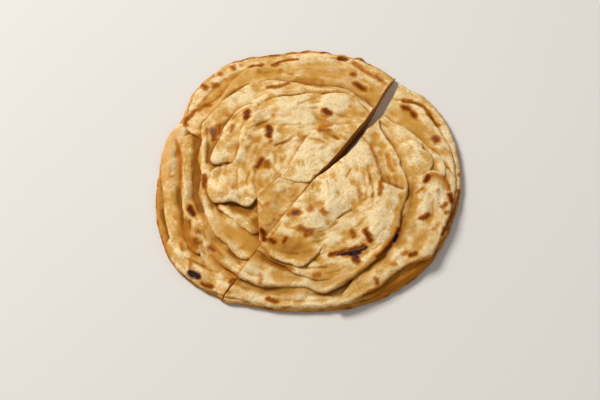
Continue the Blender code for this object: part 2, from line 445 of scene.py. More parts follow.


# Marks by kind: toast is browned, char nearly black, gold full of fat and, in some broad strokes, painted
# shade, pale is floury and, in its broad strokes, painted light, and the last kind is painted shade in
# hollows and under raised edges. Each is its strength, its radius and the points that it runs through.
marks = {}
marks["toast"] = [
    # back half
    (0.9, 1.5, (34, 104)), (1.0, 1.8, (20.5, 103), (25, 101.6)), (0.75, 1.3, (37, 102), (42, 99)),
    (0.7, 2.0, (47.5, 87), (51, 83.4)), (0.45, 1.8, (53, 79.6)),
    (0.55, 1.2, (30.5, 99), (33, 96.5), (36, 94), (39, 91), (42, 88.5), (46, 85.5)), (0.85, 2.5, (31, 88)),
    (0.9, 3.0, (32.6, 79.4), (37.4, 75.2)), (0.45, 2.0, (44, 74)), (0.5, 2.1, (-22, 91.5)),
    (0.55, 1.2, (-36.5, 90)), (0.75, 1.3, (-65, 89)), (0.8, 1.3, (-56, 94)),
    (0.7, 1.8, (-70, 78), (-67, 78)), (0.8, 1.8, (-77.4, 78.6), (-75.4, 75.6)), (0.6, 1.4, (-63, 72.4)),
    (0.85, 0.8, (-44, 94.6), (-38, 96), (-35, 97)),
    (0.8, 0.7, (-27, 96.6), (-22, 99), (-16, 101), (-10, 102)),
    (0.75, 1.6, (-80, 56.6), (-75, 60.4), (-72, 61.4)),
    (0.75, 1.3, (-88, 44), (-88, 49), (-85, 51.4), (-82, 56)),
    (0.72, 0.8, (-31, 76), (-24, 76.6), (-18, 78.6), (-16, 79.4)), (0.35, 1.6, (-13, 87.6)),
    (0.3, 1.5, (-10, 83.4), (-2, 83), (8, 82.4)), (1.0, 2.6, (-43.8, 54), (-45, 49.4)),
    (0.8, 1.6, (-64.6, 43), (-64, 36)), (0.6, 2.8, (-68.4, 38), (-67, 33)),
    (0.75, 1.8, (-66.4, 32), (-68, 31)), (0.5, 2.0, (-59, 52.4)), (0.6, 1.5, (-54.6, 42), (-54.8, 39.6)),
    (0.35, 1.0, (-66, 48)), (0.95, 2.3, (-29.6, 41), (-29, 34)), (0.6, 1.5, (-28, 29.6)),
    (0.45, 1.9, (-43, 32.4)), (0.4, 1.0, (-35.6, 29)), (0.35, 1.3, (-34.6, 42.6)), (0.35, 1.5, (-27, 52)),
    (0.95, 2.1, (-34, 14), (-37, 8.4)), (0.7, 2.3, (-30.6, 12), (-30, 9)), (1.0, 2.2, (9.6, 55), (12.4, 53)),
    (0.6, 1.5, (10, 50.4)), (0.7, 1.8, (6.6, 39.4), (12, 38.2)),
    (0.55, 0.8, (6, 40.4), (10, 42.4), (14, 43.4)), (0.5, 0.7, (27, 59)), (0.3, 1.2, (8, 23.6)),
    (0.55, 2.0, (-53.4, -8.6)), (0.85, 1.6, (-73.4, 1), (-72.6, -8)), (0.5, 0.8, (-96, 0)),
    (0.45, 1.5, (-99, -19)), (0.4, 1.5, (-91, -33)), (0.6, 1.3, (-86.6, -53), (-86, -58)),
    (1.0, 1.8, (-82, -25), (-80, -29.4)), (0.55, 3.0, (-76, -43.6)), (0.8, 2.0, (-78, -50), (-75, -53)),
    # the broad faint stroke at (-79, -54) on the next line is painted shade in the hollow under the side
    # leaves
    (0.8, 2.3, (-67.4, -56), (-65, -57.4)), (0.45, 4.0, (-79, -54), (-77, -60)),
    (0.9, 1.4, (-72, -83), (-66, -86)), (0.85, 1.1, (-53.4, -82), (-51, -81)), (0.45, 1.8, (-46.4, -56)),
    (0.5, 0.9, (-80, -64), (-80, -71)), (0.4, 3.0, (-66, -62), (-62, -68), (-56, -73), (-50, -77)),
    (0.5, 1.3, (-84.6, -38), (-83.6, -44), (-81, -50), (-77, -56)),
    (0.5, 1.0, (-94, 30), (-92, 24), (-90, 14), (-89.4, 4), (-89, -8)), (1.0, 1.9, (-33.4, -43), (-31, -49)),
    (0.5, 1.0, (-29, -38)), (0.5, 1.4, (-30, -22), (-32.4, -24)), (0.45, 1.0, (-21, -31)),
    (0.5, 0.9, (-26, -34)), (0.35, 1.0, (-24, -42)), (0.6, 1.5, (-14.6, -29)), (0.6, 0.9, (-56, 100.4)),
    (0.55, 1.0, (-47, 103)), (0.6, 0.9, (-41, 104)), (0.5, 1.1, (-50, 97)), (0.55, 0.9, (-70, 88)),
    (0.45, 1.2, (-61, 84)), (0.75, 0.9, (-57, 99.5), (-50, 101.6), (-44, 103.8)),
    (0.8, 0.8, (-37, 104.4), (-30, 106), (-24, 106.4)), (0.7, 0.8, (-16, 108.6), (-8, 109), (-2, 110.6)),
    (0.75, 0.8, (4, 109.6), (10, 108.6)),
    # front half
    (0.95, 2.4, (66, 58.6), (69, 57)), (0.9, 1.6, (71, 54.6), (73.4, 51.6)),
    (0.8, 3.3, (86.6, 31.6), (87.4, 30.4)), (0.3, 0.8, (96.4, 20.4)), (1.0, 1.8, (80, 0.4), (79, -2.6)),
    (0.5, 1.7, (81.6, 0.4), (85, 1.8), (88, 0.6), (91, -2.4)), (0.6, 1.1, (92.6, -4.4), (94.2, -10)),
    (1.0, 1.6, (94.4, -14.6), (94.6, -19)), (0.6, 1.4, (102.4, 1.4)), (0.4, 0.8, (72, -13), (76, -9.4)),
    (0.35, 1.4, (86.4, -11.4)), (0.7, 1.1, (89, -24.4), (91, -21.6)), (0.7, 1.2, (91.4, -28.6)),
    (0.85, 1.5, (74.2, -33.6), (78.4, -30)), (0.4, 1.0, (82, -41.4), (86, -37.2)),
    (0.8, 0.5, (66, 64.6), (74, 63.4), (80, 59), (85, 51), (89, 43)),
    (0.8, 1.3, (101, -12), (98, -24), (93, -36), (88, -46)),
    (0.5, 1.1, (34, -91.6), (44, -86), (52, -78.6), (60, -72.4), (70, -66.6), (78, -63)),
    (0.4, 1.4, (41, 24), (44, 17), (46, 9), (47, 3)), (0.45, 1.7, (53, 17), (53.4, 10), (55.6, 5)),
    (0.75, 1.2, (47.2, -5.6), (46.4, -13)), (0.5, 0.9, (32, -11), (32.6, -15)), (0.8, 4.0, (-10.4, -28.6)),
    (0.55, 2.8, (-1, -25.4)), (0.62, 2.3, (7.4, -27), (9.4, -29)), (0.25, 2.0, (3.6, -24)),
    (0.7, 3.0, (-7, -41.6), (-1.4, -43.6)), (0.8, 1.7, (-3, -45.4)),
    (0.95, 2.4, (-27.4, -50), (-24.6, -51.4)), (0.9, 1.8, (-17.4, -48.6), (-17.6, -50.4)),
    (0.75, 1.6, (27.6, -43.4), (28, -47)), (0.35, 1.4, (22, -52)), (0.95, 2.0, (36.6, -43), (39.4, -50.4)),
    (0.9, 1.8, (29.6, -64), (30.2, -66.6)), (0.9, 1.7, (13, -60.4), (22, -59), (34.6, -55)),
    (0.95, 2.0, (27, -60), (29, -65.4)), (0.85, 1.4, (58.6, -42), (55, -50), (49, -57), (44, -63)),
    (0.9, 1.0, (65.6, -62), (69.6, -60.4)), (0.6, 1.4, (61, -60.4), (63, -60)),
    (0.65, 1.1, (53, -68.8), (55.4, -68.4)), (0.8, 1.5, (42, -79.6), (42.6, -82.6)),
    (0.85, 1.6, (-28.4, -94.6), (-23, -97)), (0.6, 1.3, (-54.6, -90)), (0.5, 1.2, (-33.4, -77), (-34, -83)),
    # the broad faint stroke from (40, -93) on the next line is browning and painted shade below the flap's
    # lower edge
    (0.6, 1.3, (2.6, -77), (5, -77)), (0.42, 5.0, (40, -93), (52, -86), (62, -78), (72, -70), (78, -65)),
    (0.6, 2.0, (46, -90), (60, -81), (70, -73)),
]
marks["char"] = [
    # back half
    (0.9, 1.4, (10.5, 109), (14, 109.6)), (0.8, 1.3, (-32, 107), (-28, 108)), (0.7, 1.0, (24.6, 102)),
    (0.3, 1.8, (-65, 75)), (0.5, 0.9, (-36.5, 96.6)), (0.55, 1.2, (-44.2, 53)),
    (0.46, 3.4, (-68.6, 40), (-67.6, 35)), (0.4, 1.2, (-29.6, 37)), (0.5, 1.1, (11.6, 53.4)),
    (0.6, 0.5, (-22, 68.4)), (0.4, 2.2, (-76, -44)), (0.4, 1.6, (-67.4, -56), (-65, -57.4)),
    (1.05, 3.3, (-79.4, -75.4), (-75.6, -77.6)),
    # front half
    (0.5, 2.4, (86.6, 32), (87.2, 31)), (0.4, 0.7, (87, -21)), (0.5, 0.6, (51, -9)),
    (0.62, 2.7, (-10.4, -28.4)), (0.35, 2.4, (-6, -40.6), (-2, -41.6)), (0.35, 1.2, (38.4, -48)),
    (0.95, 1.0, (17, -61), (24, -59.4), (30, -58.4), (36.5, -56.2)), (1.1, 2.3, (25.5, -60.6), (31, -60)),
    (0.9, 1.7, (29, -62.4), (30, -64)), (1.0, 1.8, (57.4, -45.6), (55.4, -50.6)),
    (0.5, 1.0, (53, -54), (48.6, -58.4)),
]
# some broad gold strokes are painted shade: below the middle leaves' lower-left edges, in the back's upper
# middle and in the valley at the front's upper right
marks["gold"] = [
    # back half
    (0.5, 1.6, (-24, 47)), (0.5, 1.5, (-12, 64.4)), (0.4, 2.5, (-10, 56), (-11, 50)),
    (0.7, 1.6, (-55.4, -2), (-57, -9)), (0.6, 1.5, (-90, -44)), (0.7, 1.5, (-85.5, 17)),
    (0.5, 8.0, (-95, 25), (-98, 0), (-95, -25), (-88, -50)), (0.4, 6.0, (-84, -10), (-82, -40)),
    (0.7, 7.0, (-64, -36), (-54, -44), (-44, -50)), (0.25, 8.0, (-60, 0), (-48, -4)),
    (0.3, 7.0, (-62, 60), (-68, 40), (-70, 20)), (0.9, 7.0, (-97, 36), (-101, 20), (-102, 0)),
    (0.8, 7.0, (-2, 93), (14, 92), (28, 85)), (0.9, 8.0, (-42, -50), (-36, -62)),
    (0.8, 8.0, (-30, -38), (-24, -26)), (0.6, 3.0, (-20, -7)),
    (0.9, 6.0, (-72, 58), (-62, 72), (-50, 86), (-38, 90), (-24, 90)),
    (0.6, 6.0, (-12, 94), (6, 93), (22, 90)), (0.8, 3.5, (-66, -64), (-60, -71), (-52, -77)),
    # front half
    (0.8, 1.5, (43, 36), (46, 32.6)), (0.7, 1.5, (69, 21)), (1.0, 2.4, (84, 0), (88, -1), (92, -7)),
    (0.7, 1.2, (81, -26.4)), (0.5, 1.5, (67, -36.4)), (0.7, 6.0, (58, 55), (66, 53), (74, 46), (80, 38)),
    (0.5, 7.0, (84, -30), (76, -44), (66, -54)), (0.3, 5.0, (92, 30), (99, 10), (98, -14)),
    (0.6, 5.0, (8, -93), (24, -90), (36, -84)), (0.9, 8.0, (-18, -56), (-4, -56)),
    (0.8, 7.0, (4, -76), (20, -82), (34, -78)), (0.8, 1.3, (36, -6)), (0.9, 1.8, (53, -21.4)),
    (0.4, 4.0, (34, -36)), (0.5, 2.0, (26, -20.6), (36, -17)),
    (0.8, 3.0, (-36, -86.4), (-20, -87.4), (-4, -89)), (0.5, 4.0, (14, -72), (22, -73)),
]
# the broad pale strokes are floury skin and painted light on the parts that catch the most light
marks["pale"] = [
    # back half
    (0.8, 9.0, (-14, 60), (0, 56), (12, 60)), (0.6, 7.0, (-30, 50), (-20, 30)),
    (1.0, 10.0, (-14, 50), (0, 44)), (1.0, 9.0, (20, 56), (16, 46)), (1.0, 9.0, (-14, 24), (10, 26)),
    # front half
    (1.0, 10.0, (10, -14), (24, -14), (36, -10)), (0.6, 7.0, (30, 14), (38, 24)),
    (0.9, 8.0, (46, -30), (42, -54)), (1.0, 9.0, (6, -30), (20, -31)), (1.0, 8.0, (13, -40), (24, -35)),
    (0.9, 6.0, (94, 8), (97, -6), (96, -18)), (0.9, 8.0, (86, -6), (84, -18), (78, -28)),
    (0.5, 6.0, (-36, -90), (-14, -92)),
]
# painted shade in hollows, in crevices and under raised edges
marks["paintedShade"] = [
    # back half
    (0.8, 2.0, (-84.6, -36), (-82.6, -46), (-78, -56)),
    (0.7, 2.2, (-80, 34), (-79.4, 12), (-78.6, -10), (-75.6, -26)), (0.7, 3.0, (-52, -26), (-44, -28)),
    (0.6, 3.0, (-38, -37), (-36, -46)), (0.35, 5.0, (-42, -52), (-34, -62)),
    (0.5, 2.5, (-104, -4), (-104.6, -24), (-102, -44), (-95, -62)),
    (0.4, 2.0, (-90, -10), (-89, -30), (-87, -46)), (0.22, 9.0, (-38, 26), (-38, -2), (-30, -8)),
    (0.28, 7.0, (-66, -46), (-56, -58)), (0.25, 8.0, (-42, -50), (-32, -62)), (0.24, 8.0, (4, 82), (24, 76)),
    (0.22, 6.0, (34, 54), (44, 44)),
    # front half
    (0.3, 4.0, (67, -6), (66, -20), (62, -34), (57, -50), (46, -64)),
    (0.35, 2.6, (52, -1), (58, -4), (62, -7)),
    (0.4, 1.4, (63, -14), (59, -30), (56, -44), (49, -55), (40, -65), (31, -74)),
    (0.55, 2.2, (-31, -62), (-24, -68), (-15, -71)), (0.7, 3.5, (44, -92), (56, -84), (66, -76), (76, -69)),
    (0.52, 9.0, (-20, -52), (-6, -59)), (0.22, 7.0, (66, 52), (74, 40)), (0.25, 7.0, (4, -82), (24, -78)),
]

# how far a mark fades out past its edge
markHalo = {"toast": 2.3, "char": 1.0, "gold": 4.0, "pale": 5.0, "paintedShade": 3.0}

# How edges brown, how marks take on colour, and how painted shade is laid at the foot of steps, in hollows,
# in creases and beside the cut. "rim" is for a leaf that has none of its own.
browning = {
    "wobble": [(4.2, 0.9), (1.9, 0.5)],     # size and amount of the unevenness of a mark's edge
    "core": 0.2,                            # share of a mark's radius at full strength
    "foot": (0.12, 1.5), "footShade": (0.38, 0.2), "hollow": (0.3, 2.6), "hollowShade": 0.72,
    "creaseShade": 0.5, "cutShade": (0.6, 1.5),
    "rim": 0.35, "rimReach": 1.5, "rimFade": 1.1, "paleRim": 0.2,
}


def wobbled(x, y, along, seed):
    # one coordinate as the marks are read, made uneven so that their edges aren't clean arcs
    (broadSize, broad), (fineSize, fine) = browning["wobble"]
    return along + softNoise(x, y, broadSize, seed) * broad + softNoise(x, y, fineSize, seed + 1) * fine


def paintMarks(x, y, seenY, top):
    paint = {kind: np.zeros(len(x)) for kind in marks}
    wobbleX = wobbled(x, y, x, 91)
    wobbleY = wobbled(x, y, seenY, 93)
    core = browning["core"]
    for kind, runs in marks.items():
        halo = markHalo[kind]
        for strength, radius, *points in runs:
            pick = nearby(wobbleX, wobbleY, points, radius + halo)
            distance = lineDistance(wobbleX[pick], wobbleY[pick], points)
            soft = np.clip((distance - core * radius) / (0.8 * radius + halo), 0, 1)
            soft = 1 - soft * soft * (3 - 2 * soft)
            paint[kind][pick] = np.maximum(paint[kind][pick], strength * soft * top[pick])
    return paint


def shadeLeaf(x, y, z, seenY, paintedShadeMarks, bedTop, side):
    # painted shade for each point, by how deep it lies: at the foot of a step, in a hollow, in a crease or
    # beside the cut
    footStart, footReach = browning["foot"]
    hollowStart, hollowReach = browning["hollow"]
    footShade, footDrift = browning["footShade"]
    foot = np.clip((readGrid(bedTop["near"], x, y) - z - footStart) / footReach, 0, 1)
    hollow = np.clip((readGrid(bedTop["soft"], x, y) - z + hollowStart) / hollowReach, 0, 1)
    paintedShade = foot * (footShade + footDrift * softNoise(x, y, 14, 95)) + browning["hollowShade"] * hollow
    paintedShade = paintedShade + paintedShadeMarks
    for pick, depth, fade in creaseFades(x, seenY, 0.9):
        paintedShade[pick] += browning["creaseShade"] * depth * fade
    if side > 0:                # the closed stretch of the cut lies in its own shade
        along, aside = alongKnife(x, y)
        strength, reach = browning["cutShade"]
        paintedShade += np.where(along < 0, strength, 0) * bump(aside, reach)
    return np.clip(paintedShade, 0, 1)


def paintLeaf(mesh, leaf, bedTop, side, seed):
    # browning, char, gold, pale and painted shade for each point of the leaf
    x, y, z = (np.array([vert.co for vert in mesh.verts]) / mm).T
    layers = [mesh.verts.layers.float[key] for key in pointValues]
    inset, top, relief = [np.array([vert[layer] for vert in mesh.verts]) for layer in layers]
    seenY = seenAcross(y, z)
    paint = paintMarks(x, y, seenY, top)
    gold = np.maximum(paint["gold"], leaf.get("gold", 0.0))
    paintedShade = shadeLeaf(x, y, z, seenY, paint["paintedShade"], bedTop, side)
    patchy = softNoise(x, y, 6.5, seed + 9) * 0.5 + softNoise(x, y, 2.6, seed + 10) * 0.4
    rimHeat = leaf.get("rim", browning["rim"]) * np.clip(0.55 + patchy, 0, 1.2)
    rimHeat = rimHeat * bump(inset, browning["rimReach"])
    paint["toast"] = np.maximum(paint["toast"], rimHeat * top)
    paint["pale"] = np.maximum(paint["pale"], browning["paleRim"] * bump(inset - 1.8, 1.3))
    rim = np.exp(-inset / browning["rimFade"])
    under = 1 - top
    first = mesh.verts.layers.float_color.new("bakingAndPaintedLight")
    # the place colour holds painted shade, closeness to the edge, the underside, and the wrinkle height that
    # paints light on ridges
    second = mesh.verts.layers.float_color.new("place")
    for k, vert in enumerate(mesh.verts):
        vert[first] = (paint["toast"][k], paint["char"][k], gold[k], paint["pale"][k])
        vert[second] = (paintedShade[k], rim[k], under[k], min(max(0.5 + 0.5 * relief[k], 0.0), 1.0))


doughColours = {
    "cream": (0.85, 0.565, 0.225), "tan": (0.61, 0.340, 0.088), "gold": (0.60, 0.285, 0.038),
    "paintedShade": (0.29, 0.098, 0.008), "orange": (0.52, 0.180, 0.012), "brown": (0.170, 0.030, 0.0015),
    "dark": (0.045, 0.008, 0.002), "mauve": (0.175, 0.062, 0.045), "black": (0.022, 0.008, 0.007),
    "flour": (0.94, 0.765, 0.455),
}

# The skin's patterns, shine and bump. A scale is the number of lumps in a metre.
skin = {
    "broadScale": 85.0, "patchScale": 260.0, "fineScale": 560.0, "grainScale": 1900.0, "islandScale": 48.0,
    "roughness": 0.68, "specular": 0.05, "bumpStrength": 0.55, "bumpHeight": 0.0006,
}


def addNode(tree, kind, **settings):
    node = tree.nodes.new(kind)
    for key, value in settings.items():
        setattr(node, key, value)
    return node


def mathNode(tree, operation, *values):
    node = addNode(tree, "ShaderNodeMath", operation=operation)
    for index, value in enumerate(values):
        if isinstance(value, (int, float)):
            node.inputs[index].default_value = value
        else:
            tree.links.new(value, node.inputs[index])
    return node.outputs[0]


def stepNode(tree, value, low, high, top=1.0):
    node = addNode(tree, "ShaderNodeMapRange", interpolation_type="SMOOTHSTEP")
    tree.links.new(value, node.inputs["Value"])
    node.inputs["From Min"].default_value = low
    node.inputs["From Max"].default_value = high
    node.inputs["To Max"].default_value = top
    return node.outputs["Result"]


def mixNode(tree, factor, first, second, blend="MIX"):
    node = addNode(tree, "ShaderNodeMix", data_type="RGBA", blend_type=blend)
    for socket, value in ((node.inputs["Factor"], factor), (node.inputs[6], first), (node.inputs[7], second)):
        if isinstance(value, (int, float)):
            socket.default_value = value
        elif isinstance(value, tuple):
            socket.default_value = (*value, 1.0)
        else:
            tree.links.new(value, socket)
    return node.outputs[2]


def noiseNode(tree, place, scale, detail=3.0, rough=0.55):
    node = addNode(tree, "ShaderNodeTexNoise")
    node.inputs["Scale"].default_value = scale
    node.inputs["Detail"].default_value = detail
    node.inputs["Roughness"].default_value = rough
    tree.links.new(place, node.inputs["Vector"])
    return node.outputs["Fac"]


def coat(tree, colour, amount, low, high, strength, name):
    # lays one of the dough's colours over the rest, where the amount passes from low to high
    return mixNode(tree, stepNode(tree, amount, low, high, strength), colour, doughColours[name])


def doughMaterial(name):
    material = bpy.data.materials.new(name)
    material.use_nodes = True
    tree = material.node_tree
    shader = tree.nodes["Principled BSDF"]
    place = addNode(tree, "ShaderNodeTexCoord").outputs["Object"]
    bakingAndPaintedLight = addNode(tree, "ShaderNodeAttribute", attribute_name="bakingAndPaintedLight")
    where = addNode(tree, "ShaderNodeAttribute", attribute_name="place")
    bakingParts = addNode(tree, "ShaderNodeSeparateColor")
    whereParts = addNode(tree, "ShaderNodeSeparateColor")
    tree.links.new(bakingAndPaintedLight.outputs["Color"], bakingParts.inputs["Color"])
    tree.links.new(where.outputs["Color"], whereParts.inputs["Color"])
    toast, char, gold = bakingParts.outputs
    paintedShade, rim, under = whereParts.outputs
    broad = noiseNode(tree, place, skin["broadScale"])
    patch = noiseNode(tree, place, skin["patchScale"], 4.0, 0.6)
    fine = noiseNode(tree, place, skin["fineScale"], 5.0, 0.68)
    grain = noiseNode(tree, place, skin["grainScale"], 2.0)
    # pale skin with tan and golden patches, with painted light on raised wrinkles and painted shade in their
    # dips
    mottleAndRidgeLight = mathNode(tree, "MULTIPLY", where.outputs["Alpha"], 0.45)
    mottleAndRidgeLight = mathNode(tree, "MULTIPLY_ADD", patch, 0.55, mottleAndRidgeLight)
    mottleAndRidgeLight = mathNode(tree, "MULTIPLY_ADD", bakingAndPaintedLight.outputs["Alpha"], 0.24, mottleAndRidgeLight)
    colour = coat(tree, doughColours["cream"], broad, 0.38, 0.66, 0.75, "tan")
    colour = coat(tree, colour, mottleAndRidgeLight, 0.52, 0.36, 0.8, "tan")
    colour = coat(tree, colour, mottleAndRidgeLight, 0.46, 0.64, 0.8, "flour")
    colour = coat(tree, colour, fine, 0.51, 0.66, 0.55, "gold")
    colour = coat(tree, colour, fine, 0.48, 0.35, 0.6, "flour")
    goldAmount = mathNode(tree, "MULTIPLY_ADD", gold, 0.9, mathNode(tree, "MULTIPLY_ADD", patch, 0.5, -0.25))
    colour = coat(tree, colour, goldAmount, 0.05, 0.95, 0.72, "gold")
    # painted shade in the hollows, at the foot of steps and in creases, golden then dark brown; fat gathers
    # there too and adds some of the gold
    colour = coat(tree, colour, paintedShade, 0.0, 0.42, 0.8, "gold")
    colour = coat(tree, colour, paintedShade, 0.25, 0.95, 0.95, "paintedShade")
    # leaf edges catch the griddle here and there
    edgeHeat = mathNode(tree, "MULTIPLY", rim, stepNode(tree, broad, 0.42, 0.66))
    colour = coat(tree, colour, edgeHeat, 0.25, 1.0, 0.65, "orange")
    # freckles, browned spots and char
    freckle = mathNode(tree, "MULTIPLY", stepNode(tree, fine, 0.66, 0.78), stepNode(tree, broad, 0.45, 0.7))
    colour = mixNode(tree, mathNode(tree, "MULTIPLY", freckle, 0.4), colour, doughColours["orange"])
    heat = mathNode(tree, "ADD", toast, mathNode(tree, "MULTIPLY_ADD", fine, 0.34, -0.17))
    colour = coat(tree, colour, heat, 0.02, 0.56, 0.94, "orange")
    colour = coat(tree, colour, heat, 0.40, 0.96, 0.95, "brown")
    colour = coat(tree, colour, heat, 0.84, 1.12, 0.85, "dark")
    burn = mathNode(tree, "ADD", char, mathNode(tree, "MULTIPLY_ADD", fine, 0.24, -0.12))
    colour = coat(tree, colour, burn, 0.10, 0.50, 0.7, "mauve")
    colour = coat(tree, colour, burn, 0.52, 0.85, 0.97, "black")
    # the underside lay on the griddle: golden with broad browned islands
    island = noiseNode(tree, place, skin["islandScale"], 5.0, 0.62)
    underside = coat(tree, doughColours["tan"], island, 0.48, 0.60, 0.85, "orange")
    underside = coat(tree, underside, island, 0.57, 0.68, 0.9, "brown")
    colour = mixNode(tree, under, colour, underside)
    shade = mathNode(tree, "MULTIPLY_ADD", grain, 0.34, 0.83)
    shadeColour = addNode(tree, "ShaderNodeCombineColor")
    for socket in shadeColour.inputs:
        tree.links.new(shade, socket)
    colour = mixNode(tree, 1.0, colour, shadeColour.outputs["Color"], "MULTIPLY")
    tree.links.new(colour, shader.inputs["Base Color"])
    finishSkin(tree, shader, patch, fine, grain, gold)
    return material


def finishSkin(tree, shader, patch, fine, grain, gold):
    # fat makes the skin a little smoother, and the grain stands up from it
    roughness = mathNode(tree, "MULTIPLY_ADD", patch, -0.30, skin["roughness"])
    roughness = mathNode(tree, "MULTIPLY_ADD", gold, -0.12, roughness)
    tree.links.new(roughness, shader.inputs["Roughness"])
    shader.inputs["Specular IOR Level"].default_value = skin["specular"]
    shader.inputs["Subsurface Weight"].default_value = 0.0
    relief = mathNode(tree, "MULTIPLY_ADD", fine, 0.7, mathNode(tree, "MULTIPLY", patch, 1.4))
    relief = mathNode(tree, "MULTIPLY_ADD", grain, 0.25, relief)
    raised = addNode(tree, "ShaderNodeBump")
    raised.inputs["Strength"].default_value = skin["bumpStrength"]
    raised.inputs["Distance"].default_value = skin["bumpHeight"]
    tree.links.new(relief, raised.inputs["Height"])
    tree.links.new(raised.outputs["Normal"], shader.inputs["Normal"])


def meshData(name, mesh):
    data = bpy.data.meshes.new(name)
    mesh.to_mesh(data)
    mesh.free()
    return data


def addToScene(name, data):
    thing = bpy.data.objects.new(name, data)
    bpy.context.scene.collection.objects.link(thing)
    return thing


def finishLeaf(name, mesh, node, material):
    shift = Vector((bread["shift"][0] * mm, bread["shift"][1] * mm, 0.0))
    bmesh.ops.translate(mesh, verts=mesh.verts, vec=shift)
    bmesh.ops.recalc_face_normals(mesh, faces=mesh.faces)
    for face in mesh.faces:
        face.smooth = True
    data = meshData(name, mesh)
    data.set_sharp_from_angle(angle=math.radians(55))
    data.materials.append(material)
    piece = addToScene(name, data)
    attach(piece, "root")
    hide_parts(node)
    return piece


def bakeHalf(leaves, node, side, seed, material):
    bed = np.zeros(gridX.shape)
    meshes = []
    for index, (name, leaf) in enumerate(leaves.items()):
        leafSeed = seed + index * bread["leafSeedStep"]
        outline, middle = leafOutline(leaf, leafSeed)
        heightField, bed = drapeLeaf(leaf, outline, bed, leafSeed)
        mesh = bakeLeaf(leaf, outline, middle, heightField, leafSeed)
        cutByKnife(mesh, side, leafSeed)
        meshes.append((name, leaf, mesh, leafSeed))
    bedTop = {"soft": blur(bed, 5.0), "near": blur(bed, 1.5)}
    triangles = 0
    for name, leaf, mesh, leafSeed in meshes:
        paintLeaf(mesh, leaf, bedTop, side, leafSeed)
        piece = finishLeaf(name, mesh, node, material)
        piece.data.calc_loop_triangles()
        triangles += len(piece.data.loop_triangles)
    print(node, "made of", len(meshes), "leaves,", triangles, "triangles")


